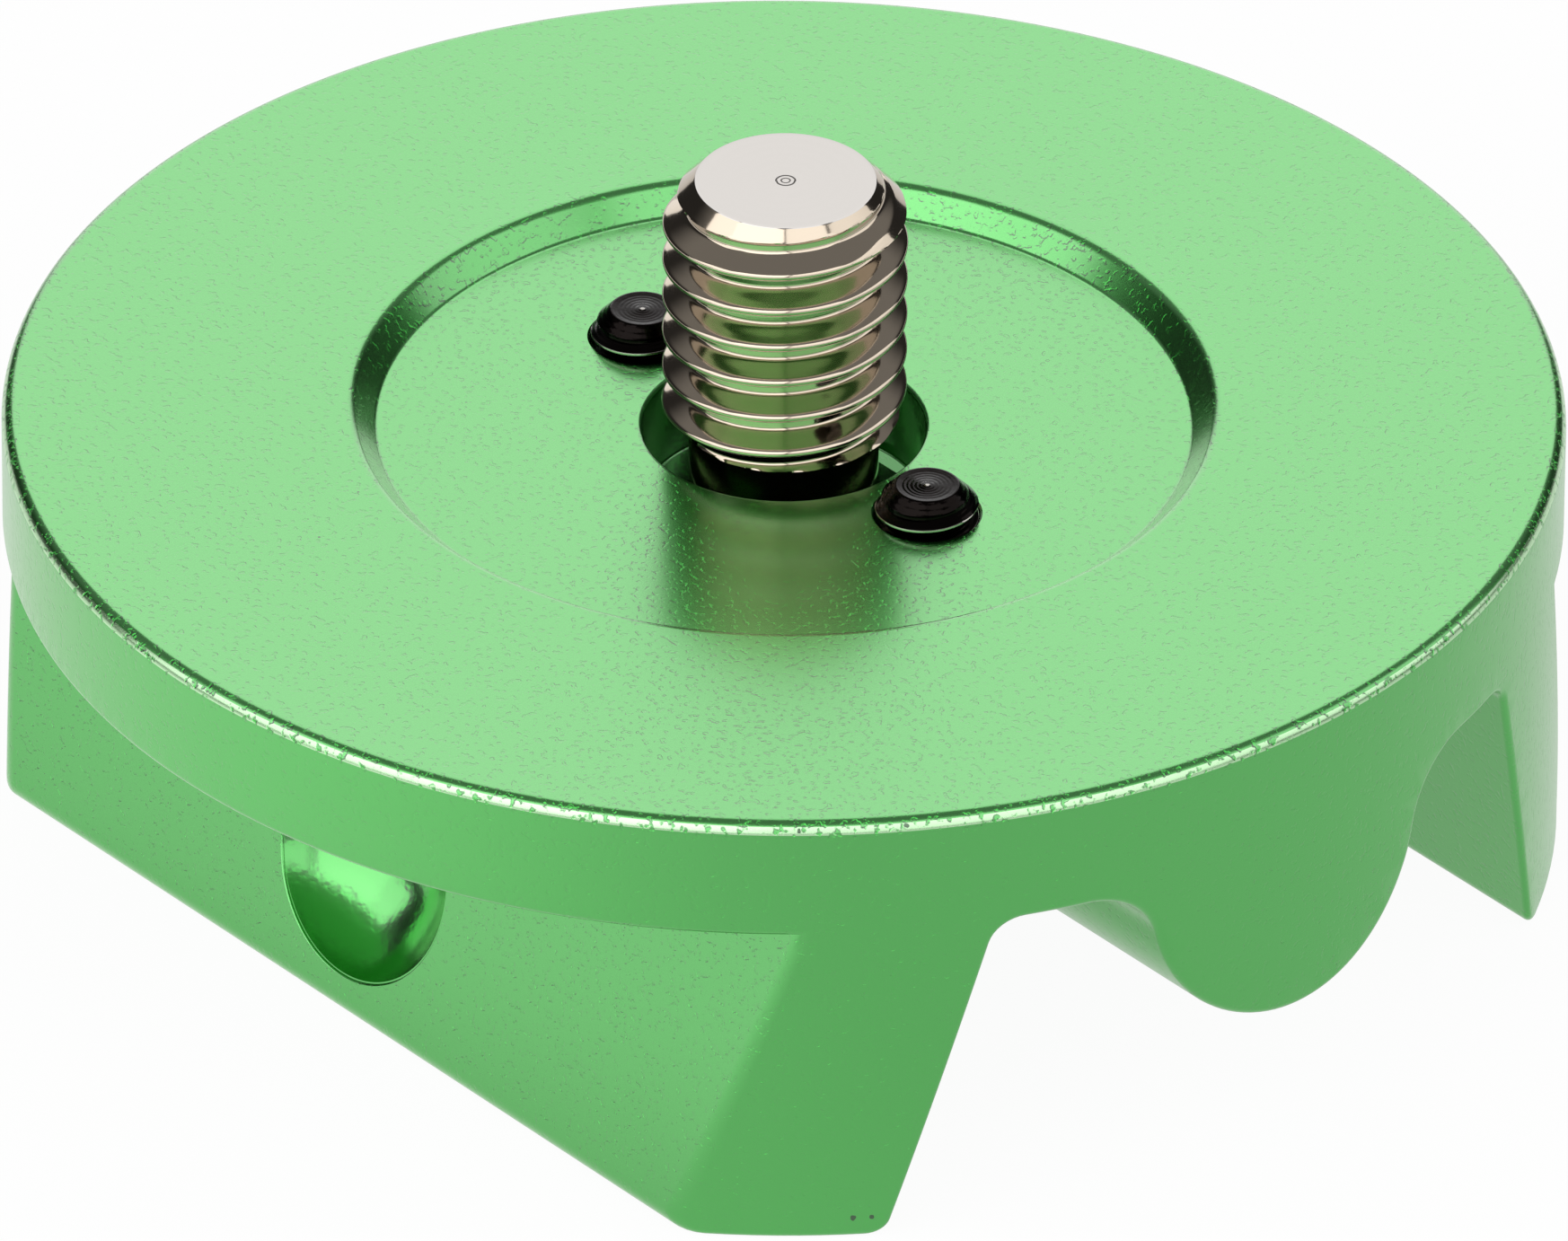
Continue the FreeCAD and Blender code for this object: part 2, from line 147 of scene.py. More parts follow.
def arc(centre, radius, start, end, steps):
    """Points on an arc, its ends among them. Angles are radians."""
    turns = [start + (end - start) * step / steps for step in range(steps + 1)]
    return [(centre[0] + radius * math.cos(turn), centre[1] + radius * math.sin(turn)) for turn in turns]


def rounded(corners, closed=False, steps=6):
    """An outline through corners (a, b) or (a, b, radius), with an arc at each corner that has a radius."""
    outline = []
    count = len(corners)
    for index, corner in enumerate(corners):
        inside = closed or 0 < index < count - 1
        if len(corner) < 3 or not inside:
            outline.append(corner[:2])
            continue
        here = Vector(corner[:2])
        back = (Vector(corners[index - 1][:2]) - here).normalized()
        ahead = (Vector(corners[(index + 1) % count][:2]) - here).normalized()
        half_angle = back.angle(ahead) / 2
        reach = corner[2] / math.tan(half_angle)
        centre = here + (back + ahead).normalized() * (corner[2] / math.sin(half_angle))
        first = here + back * reach - centre
        last = here + ahead * reach - centre
        sweep = first.angle_signed(last)
        for step in range(steps + 1):
            spoke = first.copy()
            spoke.rotate(Matrix.Rotation(-sweep * step / steps, 2))
            outline.append(tuple(centre + spoke))
    return outline


def even_turns(facets):
    return [2 * math.pi * facet / facets for facet in range(facets)]


def circle_ring(radius, height, facets):
    """Points round a circle, evenly, or at the turns given in place of a count."""
    turns = even_turns(facets) if isinstance(facets, int) else facets
    return [(radius * math.cos(turn), radius * math.sin(turn), height) for turn in turns]


def hexagon_ring(across_flats, height, facets):
    """A ring with its points spread along a hexagon, as many as there are facets."""
    ring = []
    for x, y, z in circle_ring(1, height, facets):
        turn = math.atan2(y, x) % math.radians(60) - math.radians(30)
        reach = across_flats / 2 / math.cos(turn)
        ring.append((x * reach, y * reach, z))
    return ring


def skin(rings):
    """A closed surface over rings of equal counts. A ring of one point is a pole."""
    surface = bmesh.new()
    loops = [[surface.verts.new(point) for point in ring] for ring in rings]
    for lower, upper in zip(loops, loops[1:]):
        count = max(len(lower), len(upper))
        for index in range(count):
            following = (index + 1) % count
            corners = [lower[index % len(lower)], lower[following % len(lower)],
                       upper[following % len(upper)], upper[index % len(upper)]]
            surface.faces.new(list(dict.fromkeys(corners)))
    bmesh.ops.recalc_face_normals(surface, faces=surface.faces)
    return surface


def lathe(outline, facets):
    """Turns an outline of (radius, height) about the Z axis. Its ends lie on the axis."""
    return skin([circle_ring(radius, height, facets) if radius > 0 else [(0, 0, height)]
                 for radius, height in outline])


def prism(outline, low, high):
    """A straight bar along Z with a closed outline."""
    bar = bmesh.new()
    ends = []
    for height in (low, high):
        ends.append([bar.verts.new((x, y, height)) for x, y in outline])
    bar.faces.new(ends[0])
    bar.faces.new(ends[1])
    for index in range(len(outline)):
        following = (index + 1) % len(outline)
        bar.faces.new([ends[0][index], ends[0][following], ends[1][following], ends[1][index]])
    bmesh.ops.recalc_face_normals(bar, faces=bar.faces)
    return bar


def joined(parts):
    """One bmesh from several, with meeting rings merged and all faces turned outwards."""
    whole = bmesh.new()
    for part in parts:
        carried = bpy.data.meshes.new("part")
        part.to_mesh(carried)
        part.free()
        whole.from_mesh(carried)
        bpy.data.meshes.remove(carried)
    bmesh.ops.remove_doubles(whole, verts=whole.verts, dist=MEETING_DISTANCE)
    bmesh.ops.dissolve_degenerate(whole, edges=whole.edges, dist=SLIVER_LENGTH)
    bmesh.ops.recalc_face_normals(whole, faces=whole.faces)
    return whole


def settle(piece):
    """Applies every modifier of a piece to its mesh."""
    graph = bpy.context.evaluated_depsgraph_get()
    finished = bpy.data.meshes.new_from_object(piece.evaluated_get(graph))
    piece.modifiers.clear()
    piece.data = finished


def cut_away(piece, cutters):
    """Takes each cutter, a bmesh in millimetres, out of a piece."""
    for number, cutter in enumerate(cutters):
        tool = piece_from(cutter, f"cutter_{number}")
        cut = piece.modifiers.new("cut", "BOOLEAN")
        cut.operation = "DIFFERENCE"
        cut.solver = "EXACT"
        cut.object = tool
        settle(piece)
        bpy.data.objects.remove(tool)


def smooth_faces(piece, sharp_angle=40):
    """Shades a piece smoothly, with its flat faces kept flat and its sharp edges kept sharp."""
    piece.data.shade_smooth()
    piece.data.set_sharp_from_angle(angle=math.radians(sharp_angle))
    weigh = piece.modifiers.new("weigh", "WEIGHTED_NORMAL")
    weigh.keep_sharp = True
    settle(piece)


def shown_as(piece, node, body, material):
    """Lets a finished piece stand for its CAD node."""
    piece.data.materials.clear()
    piece.data.materials.append(material)
    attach(piece, body)
    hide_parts(node)


def spread(outline, longest):
    """An outline with points added, so that none of its stretches is longer than given."""
    points = []
    for (a, b), (c, d) in zip(outline, outline[1:]):
        parts = max(1, math.ceil(math.hypot(c - a, d - b) / longest))
        points += [(a + (c - a) * part / parts, b + (d - b) * part / parts) for part in range(parts)]
    return points + [outline[-1]]


def foot_outline():
    """The foot's section in Y and Z, from the flange down one leg, under the rib and up the other leg."""
    lean = math.tan(LEAN)
    inner_top = FLANK_TOP - LEG_THICKNESS
    leg = rounded([(FLANK_TOP, UNDERSIDE), (FLANK_TOP + UNDERSIDE * lean, 0, FOOT_EDGE_ROUND),
                   (inner_top + UNDERSIDE * lean, 0, FOOT_EDGE_ROUND),
                   (inner_top, UNDERSIDE, LEG_CORNER_ROUND), (0, UNDERSIDE)], steps=8)[:-1]
    root_height = UNDERSIDE - RIB_ROOT_ROUND
    drop = RIB_CENTRE - root_height
    root_offset = math.sqrt((RIB_RADIUS + RIB_ROOT_ROUND) ** 2 - drop ** 2)
    turn = math.atan2(drop, root_offset)
    root = arc((root_offset, root_height), RIB_ROOT_ROUND, math.pi / 2, math.pi - turn, 14)
    half_rib = arc((0, RIB_CENTRE), RIB_RADIUS, -turn, -math.pi / 2, 24)[1:]
    right = leg + root + half_rib
    return spread(right + [(-y, z) for y, z in reversed(right[:-1])], LONGEST_STRETCH)


def steps_inward(outline):
    """At each point of the foot's outline, the step into the metal that moves both its sides by one."""
    sides = [Vector((0, -1))]
    for (a, b), (c, d) in zip(outline, outline[1:]):
        sides.append(Vector((b - d, c - a)).normalized())
    sides.append(Vector((0, -1)))
    return [-(before + after) / (1 + before.dot(after)) for before, after in zip(sides, sides[1:])]


def wall_triangles(low_edge, top_height):
    """Fills the plate's outer wall between its low edge, a closed loop, and an even top circle."""
    low = [Vector((0, low_edge[0][2]))]
    for (ax, ay, az), (bx, by, bz) in zip(low_edge, low_edge[1:] + low_edge[:1]):
        change = (math.atan2(by, bx) - math.atan2(ay, ax) + math.pi) % (2 * math.pi) - math.pi
        low.append(Vector((low[-1].x + change * PLATE_RADIUS, bz)))
    far = low[-1].x
    top = [Vector((far * (1 - facet / ROUND_FACETS), top_height)) for facet in range(ROUND_FACETS + 1)]
    seam = [low[0].y + (top_height - low[0].y) * step / SEAM_STEPS for step in range(1, SEAM_STEPS)]
    border = (low + [Vector((far, height)) for height in seam] + top
              + [Vector((0, height)) for height in reversed(seam)])
    inner = []
    for column in range(1, WALL_COLUMNS):
        for height in WALL_ROWS:
            spot = Vector((far * column / WALL_COLUMNS, height))
            if is_inside(spot, border, WALL_MARGIN):
                inner.append(spot)
    spots, _, faces, *_ = delaunay_2d_cdt(border + inner, [], [list(range(len(border)))], 1, 1e-7)
    wall = bmesh.new()
    points = [wall.verts.new((PLATE_RADIUS * math.cos(spot.x / PLATE_RADIUS),
                              PLATE_RADIUS * math.sin(spot.x / PLATE_RADIUS), spot.y)) for spot in spots]
    for face in faces:
        wall.faces.new([points[index] for index in face])
    return wall


def is_inside(spot, border, margin):
    """True if a point lies inside a closed border and at least a margin away from its corners."""
    inside = False
    for start, end in zip(border, border[1:] + border[:1]):
        if (start - spot).length < margin:
            return False
        if (start.y > spot.y) != (end.y > spot.y):
            crossing = start.x + (spot.y - start.y) * (end.x - start.x) / (end.y - start.y)
            inside ^= crossing > spot.x
    return inside


def foot_and_wall(top_height):
    """The foot, the flange's underside and the outer wall, with a soft edge all along where they meet."""
    outline = foot_outline()
    inward = steps_inward(outline)
    middle = len(outline) // 2
    corner = math.asin(FLANK_TOP / PLATE_RADIUS)
    count = math.ceil((math.pi - 2 * corner) / math.radians(1))
    side_turns = [corner + (math.pi - 2 * corner) * step / count for step in range(1, count)]
    rings = []
    for step in range(EDGE_STEPS + 1):
        turn = math.pi / 2 * step / EDGE_STEPS
        inset = SOFT_EDGE * (1 - math.cos(turn))
        radius = PLATE_RADIUS - SOFT_EDGE * (1 - math.sin(turn))
        section = [(y + shift.x * inset, z + shift.y * inset) for (y, z), shift in zip(outline, inward)]
        front = [(math.sqrt(radius ** 2 - y ** 2), y, z) for y, z in section]
        side = [(radius * math.cos(angle), -radius * math.sin(angle), UNDERSIDE + inset)
                for angle in side_turns]
        back = [(-x, y, z) for x, y, z in reversed(front)]
        other_side = [(-x, -y, z) for x, y, z in side]
        ring = front + side + back + other_side
        rings.append(ring[middle:] + ring[:middle])
    edges = skin(rings)
    edges.verts.ensure_lookup_table()
    loop = edges.verts[:len(rings[0])]
    loop = loop[-middle:] + loop[:-middle]
    ends, sides = len(outline), len(side_turns)
    front, side = loop[:ends], loop[ends:ends + sides]
    back = loop[ends + sides:2 * ends + sides][::-1]
    other_side = loop[2 * ends + sides:]
    for index in range(ends - 1):
        edges.faces.new([front[index], front[index + 1], back[index + 1], back[index]])
    edges.faces.new([front[-1]] + side + [back[-1]])
    edges.faces.new([back[0]] + other_side + [front[0]])
    return [edges, wall_triangles(rings[-1], top_height)]


def dimple_ball():
    """The centre of the ball that the dimple is a part of."""
    standoff = DIMPLE_RADIUS - DIMPLE_DEPTH
    return (0, -(FLANK_TOP + (UNDERSIDE - DIMPLE_CENTRE) * math.tan(LEAN)) - standoff * math.cos(LEAN),
            DIMPLE_CENTRE + standoff * math.sin(LEAN))


def dimple_cutter():
    """A ball-ended cutter with a small rounded lip, square to the flank."""
    standoff = DIMPLE_RADIUS - DIMPLE_DEPTH
    mouth = math.sqrt(DIMPLE_RADIUS ** 2 - standoff ** 2)
    ball = arc((0, 0), DIMPLE_RADIUS, -math.pi / 2, -math.asin(standoff / DIMPLE_RADIUS) - 0.02, 28)
    lip = [(mouth + DIMPLE_LIP * (1 - math.cos(turn)), 0.01 - standoff - DIMPLE_LIP * (1 - math.sin(turn)))
           for turn in (math.radians(15 * step) for step in range(1, 7))]
    tool = lathe([(0, -DIMPLE_RADIUS)] + ball[1:] + lip + [(mouth + DIMPLE_LIP, 2), (0, 2)],
                 DIMPLE_FACETS)
    out_of_flank = Vector((0, -math.cos(LEAN), math.sin(LEAN)))
    turn = out_of_flank.to_track_quat("Z", "X").to_matrix().to_4x4()
    tool.transform(Matrix.Translation(dimple_ball()) @ turn)
    return tool


def hole_cutter(place, outline, facets):
    """A round cutter over the X axis, turned a little so that none of its edges lies along the rib."""
    tool = lathe(outline, facets)
    tool.transform(Matrix.Translation((place, 0, 0)) @ Matrix.Rotation(0.02, 4, "Z"))
    return tool


def make_adapter_plate():
    stud_hole = STUD_SHANK + FIT_CLEARANCE
    top = rounded([(PLATE_RADIUS, 0), (PLATE_RADIUS, PLATE_TOP, TOP_RIM_ROUND),
                   (RECESS_RIM_RADIUS, PLATE_TOP, RECESS_RIM_ROUND),
                   (RECESS_FLOOR_RADIUS, RECESS_FLOOR, RECESS_FLOOR_ROUND),
                   (BORE_RADIUS, RECESS_FLOOR, BORE_RIM_ROUND), (BORE_RADIUS, BORE_FLOOR, BORE_FLOOR_ROUND),
                   (stud_hole, BORE_FLOOR), (stud_hole, 9), (0, 9)], steps=9)[1:]
    shell = joined([lathe(top, ROUND_FACETS)] + foot_and_wall(top[0][1]))
    plate = piece_from(shell, "plate_and_foot")
    cutters = [dimple_cutter()]
    for side in (1, -1):
        relief = rounded([(-RELIEF_HALF_LENGTH, side * RELIEF_INNER),
                          (RELIEF_HALF_LENGTH, side * RELIEF_INNER),
                          (RELIEF_HALF_LENGTH, side * RELIEF_OUTER, RELIEF_ROUND),
                          (-RELIEF_HALF_LENGTH, side * RELIEF_OUTER, RELIEF_ROUND)], closed=True, steps=8)
        cutters.append(prism(relief, BELOW_FOOT, BORE_FLOOR + INTO_BORE))
    # The lathed shape already holds the upper part of the stud's hole, and this opens it to the foot
    cutters.append(hole_cutter(0, [(0, BELOW_FOOT), (stud_hole + 0.01, BELOW_FOOT), (stud_hole + 0.01, 9.5),
                                   (0, 9.5)], STUD_FACETS))
    for place in SET_SCREW_PLACES.values():
        cutters.append(hole_cutter(place, [(0, BELOW_FOOT), (SET_SCREW_HOLE, BELOW_FOOT),
                                           (SET_SCREW_HOLE, RECESS_FLOOR - 0.08),
                                           (SET_SCREW_HOLE_MOUTH, RECESS_FLOOR), (SET_SCREW_HOLE_MOUTH, 20),
                                           (0, 20)], HOLE_FACETS))
    cut_away(plate, cutters)
    smooth_faces(plate)
    return plate


# Materials

# Sizes of the surface marks in millimetres
GRIT_SIZE = 0.27
PIT_DEPTH = 0.015
HAMMER_MARK_SIZE = 0.32
OIL_PATCH_SIZE = 0.25
TURNING_FEED = 0.16
# The top rim: how far in it is battered, how many times deeper its marks are, and where its painted
# highlight lies
BATTERED_WIDTH = 0.4
RIM_COARSENESS = 3.0
RIM_HIGHLIGHT_WIDTH = 0.16
RIM_HIGHLIGHT_DEPTH = 0.46
BLASTED_ROUGHNESS = 0.27
TURNED_ROUGHNESS = 0.17


def linear(code):
    """A linear colour from an sRGB hex value such as "92D998"."""
    channels = [int(code[place:place + 2], 16) / 255 for place in (0, 2, 4)]
    return tuple(c / 12.92 if c <= 0.04045 else ((c + 0.055) / 1.055) ** 2.4 for c in channels) + (1.0,)


def add(tree, kind, inputs=None, **settings):
    """Adds a node with its settings. Each input is a value or another node's output."""
    made = tree.nodes.new(kind)
    for name, value in settings.items():
        setattr(made, name, value)
    for socket, value in (inputs or {}).items():
        if isinstance(value, bpy.types.NodeSocket):
            tree.links.new(value, made.inputs[socket])
        else:
            made.inputs[socket].default_value = value
    return made


def calculate(tree, operation, first, second=0.0, third=0.0):
    """One step of arithmetic on numbers or outputs."""
    return add(tree, "ShaderNodeMath", {0: first, 1: second, 2: third}, operation=operation).outputs[0]


def new_material(name):
    material = bpy.data.materials.new(name)
    material.use_nodes = True
    material.node_tree.nodes.clear()
    return material, material.node_tree


def finish_material(tree, shader):
    add(tree, "ShaderNodeOutputMaterial", {"Surface": shader})


def nick_mask(tree, place, grit):
    """1 inside the nicks, whose edges follow the grit, and 0 elsewhere."""
    # Distances are counted in each nick's own radius
    nearest = 2.0
    for x, y, z, radius in NICKS:
        away = add(tree, "ShaderNodeVectorMath", {0: place, 1: Vector((x, y, z)) * MM}, operation="DISTANCE")
        past = calculate(tree, "DIVIDE", away.outputs["Value"], radius * MM)
        nearest = calculate(tree, "MINIMUM", past, nearest)
    return calculate(tree, "LESS_THAN", nearest, grit)


def blasted_green_aluminium():
    """Aluminium, bead blasted and anodised green: a satin metal with an even grain under a clear skin."""
    material, tree = new_material("blasted_green_anodised_aluminium")
    place = add(tree, "ShaderNodeTexCoord").outputs["Object"]
    # The dimple was pressed or ball-milled after the blasting, so it is glossy and a little wavy
    from_ball = add(tree, "ShaderNodeVectorMath", {0: place, 1: Vector(dimple_ball()) * MM},
                    operation="DISTANCE").outputs["Value"]
    in_dimple = calculate(tree, "LESS_THAN", from_ball, (DIMPLE_RADIUS + 0.06) * MM)
    # The bore was turned after the blasting, so it is smoother; its darker green is painted shade deep in
    # the hole
    height = add(tree, "ShaderNodeSeparateXYZ", {0: place}).outputs["Z"]
    below = calculate(tree, "LESS_THAN", height, (RECESS_FLOOR - 0.15) * MM)
    off_axis = add(tree, "ShaderNodeVectorMath", {0: place, 1: (1.0, 1.0, 0.0)}, operation="MULTIPLY")
    reach = add(tree, "ShaderNodeVectorMath", {0: off_axis.outputs[0]}, operation="LENGTH").outputs["Value"]
    near_axis = calculate(tree, "LESS_THAN", reach, (BORE_RADIUS + 0.05) * MM)
    in_bore = calculate(tree, "MULTIPLY", below, near_axis)
    turned = calculate(tree, "MAXIMUM", in_dimple, in_bore)
    roughness = add(tree, "ShaderNodeMix", {"Factor": turned, "A": BLASTED_ROUGHNESS,
                                            "B": TURNED_ROUGHNESS}).outputs[0]
    # Painted shade: the bore's walls get a darker green than the rest of the plate
    colour = add(tree, "ShaderNodeMix", {"Factor": in_bore, "A": linear("3CA840"), "B": linear("1E7420")},
                 data_type="RGBA")
    # Scattered pits of the blasting in an even face
    grit = add(tree, "ShaderNodeTexNoise", {"Vector": place, "Scale": 1 / (GRIT_SIZE * MM), "Detail": 1.5,
                                            "Roughness": 0.5}).outputs["Fac"]
    pits = add(tree, "ShaderNodeMapRange", {"Value": grit, "From Min": 0.3, "From Max": 0.45},
               interpolation_type="SMOOTHSTEP").outputs[0]
    hammered = add(tree, "ShaderNodeTexNoise", {"Vector": place, "Scale": 1 / (HAMMER_MARK_SIZE * MM),
                                                "Detail": 1.0}).outputs["Fac"]
    face = add(tree, "ShaderNodeMix", {"Factor": turned, "A": pits, "B": hammered}).outputs[0]
    # The top rim is a little battered
    at_rim = calculate(tree, "GREATER_THAN", reach, (PLATE_RADIUS - BATTERED_WIDTH) * MM)
    up_high = calculate(tree, "GREATER_THAN", height, (PLATE_TOP - TOP_RIM_ROUND) * MM)
    battered = calculate(tree, "MULTIPLY", at_rim, up_high)
    coarse = calculate(tree, "MULTIPLY_ADD", battered, RIM_COARSENESS - 1, 1.0)
    worked = calculate(tree, "MULTIPLY", face, coarse)
    grain = add(tree, "ShaderNodeBump", {"Height": worked, "Strength": 1.0, "Distance": PIT_DEPTH * MM})
    # A painted highlight: the outer edge of the top is painted pale green, in patches that follow the grit
    outermost = calculate(tree, "GREATER_THAN", reach, (PLATE_RADIUS - RIM_HIGHLIGHT_WIDTH) * MM)
    off_wall = calculate(tree, "GREATER_THAN", height, (PLATE_TOP - RIM_HIGHLIGHT_DEPTH) * MM)
    edge = calculate(tree, "MULTIPLY", outermost, off_wall)
    wear_and_highlight = add(tree, "ShaderNodeMapRange", {"Value": grit, "From Min": 0.36, "From Max": 0.46,
                                            "To Max": edge})
    colour = add(tree, "ShaderNodeMix", {"Factor": wear_and_highlight.outputs[0], "A": colour.outputs["Result"],
                                         "B": linear("A9D6A2")}, data_type="RGBA")
    colour = add(tree, "ShaderNodeMix", {"Factor": nick_mask(tree, place, grit),
                                         "A": colour.outputs["Result"], "B": linear("1B4A1C")},
                 data_type="RGBA")
    # The clear skin is thickest on the faces that point up
    way = add(tree, "ShaderNodeSeparateXYZ", {0: add(tree, "ShaderNodeNewGeometry").outputs["Normal"]})
    skin_depth = add(tree, "ShaderNodeMapRange", {"Value": way.outputs["Z"], "From Min": 0.0,
                                                  "From Max": 0.8, "To Min": 0.65, "To Max": 1.0})
    shader = add(tree, "ShaderNodeBsdfPrincipled", {
        "Base Color": colour.outputs["Result"], "Metallic": 1.0, "Roughness": roughness,
        "Specular Tint": linear("F4FFF0"), "Normal": grain.outputs["Normal"],
        "Coat Weight": skin_depth.outputs[0], "Coat Roughness": 0.2, "Coat IOR": 2.0})
    finish_material(tree, shader.outputs["BSDF"])
    return material


def turned_stainless_steel():
    """Stainless steel straight off the lathe: bright and mirror-like, with fine rings on its flat end."""
    material, tree = new_material("turned_stainless_steel")
    place = add(tree, "ShaderNodeTexCoord").outputs["Object"]
    rings = add(tree, "ShaderNodeTexWave", {"Vector": place, "Scale": 1 / (1.6 * MM), "Distortion": 0.4,
                                            "Detail": 1.0}, wave_type="RINGS", rings_direction="Z")
    marks = add(tree, "ShaderNodeBump", {"Height": rings.outputs["Fac"], "Strength": 0.25,
                                         "Distance": 0.004 * MM})
    # Painted light: one steel in two tints, a cooler, more neutral one on the brightly lit end face and a
    # warmer one on the thread
    height = add(tree, "ShaderNodeSeparateXYZ", {0: place}).outputs["Z"]
    faced = calculate(tree, "GREATER_THAN", height, (STUD_TOP - 0.03) * MM)
    colour = add(tree, "ShaderNodeMix", {"Factor": faced, "A": linear("C0B3A2"),
                                         "B": linear("B8B4B0")}, data_type="RGBA")
    shader = add(tree, "ShaderNodeBsdfPrincipled", {
        "Base Color": colour.outputs["Result"], "Metallic": 1.0, "Roughness": 0.09,
        "Normal": marks.outputs["Normal"]})
    finish_material(tree, shader.outputs["BSDF"])
    return material


def black_oxide_steel():
    """Steel with a black oxide skin: nearly black and oily, with sharp glints and rings from turning."""
    material, tree = new_material("black_oxide_steel")
    place = add(tree, "ShaderNodeTexCoord").outputs["Object"]
    oil = add(tree, "ShaderNodeTexNoise", {"Vector": place, "Scale": 1 / (OIL_PATCH_SIZE * MM),
                                           "Detail": 2.0})
    film = add(tree, "ShaderNodeBump", {"Height": oil.outputs["Fac"], "Strength": 1.0,
                                        "Distance": 0.01 * MM})
    # Turning rings round either screw's axis. At a scale of 1 a ring wave repeats every 0.314
    spot = add(tree, "ShaderNodeSeparateXYZ", {0: place})
    outwards = calculate(tree, "ABSOLUTE", spot.outputs["X"])
    off_axis = calculate(tree, "SUBTRACT", outwards, SET_SCREW_PLACES["set_screw_front"] * MM)
    around = add(tree, "ShaderNodeCombineXYZ", {"X": off_axis, "Y": spot.outputs["Y"]})
    rings = add(tree, "ShaderNodeTexWave", {"Vector": around.outputs[0],
                                            "Scale": 0.314 / (TURNING_FEED * MM)},
                wave_type="RINGS", rings_direction="Z")
    turned = add(tree, "ShaderNodeBump", {"Height": rings.outputs["Fac"], "Strength": 1.0,
                                          "Distance": 0.006 * MM, "Normal": film.outputs["Normal"]})
    roughness = add(tree, "ShaderNodeMapRange", {"Value": oil.outputs["Fac"], "To Min": 0.08,
                                                 "To Max": 0.22})
    # The oxide is worn through to bright steel on the crests of the thread and on the pip of the tip
    reach = add(tree, "ShaderNodeVectorMath", {0: around.outputs[0]}, operation="LENGTH").outputs["Value"]
    crest = calculate(tree, "GREATER_THAN", reach, (SET_SCREW_CREST - 0.025) * MM)
    pip = calculate(tree, "LESS_THAN", reach, 0.1 * MM)
    wear_and_highlight = calculate(tree, "MAXIMUM", crest, pip)
    colour = add(tree, "ShaderNodeMix", {"Factor": wear_and_highlight, "A": linear("141110"),
                                         "B": linear("A8A49E")}, data_type="RGBA")
    shader = add(tree, "ShaderNodeBsdfPrincipled", {
        "Base Color": colour.outputs["Result"], "Metallic": 1.0, "Roughness": roughness.outputs[0],
        "Normal": turned.outputs["Normal"]})
    finish_material(tree, shader.outputs["BSDF"])
    return material


# Threads

# How far the corners of root and crest are rounded, as shares of the thread's depth
ROOT_BLEND = 0.2
CREST_BLEND = 0.16
# The turned ends start this far under their tops
STUD_END_DROP = 0.04
SET_SCREW_END_DROP = 0.02


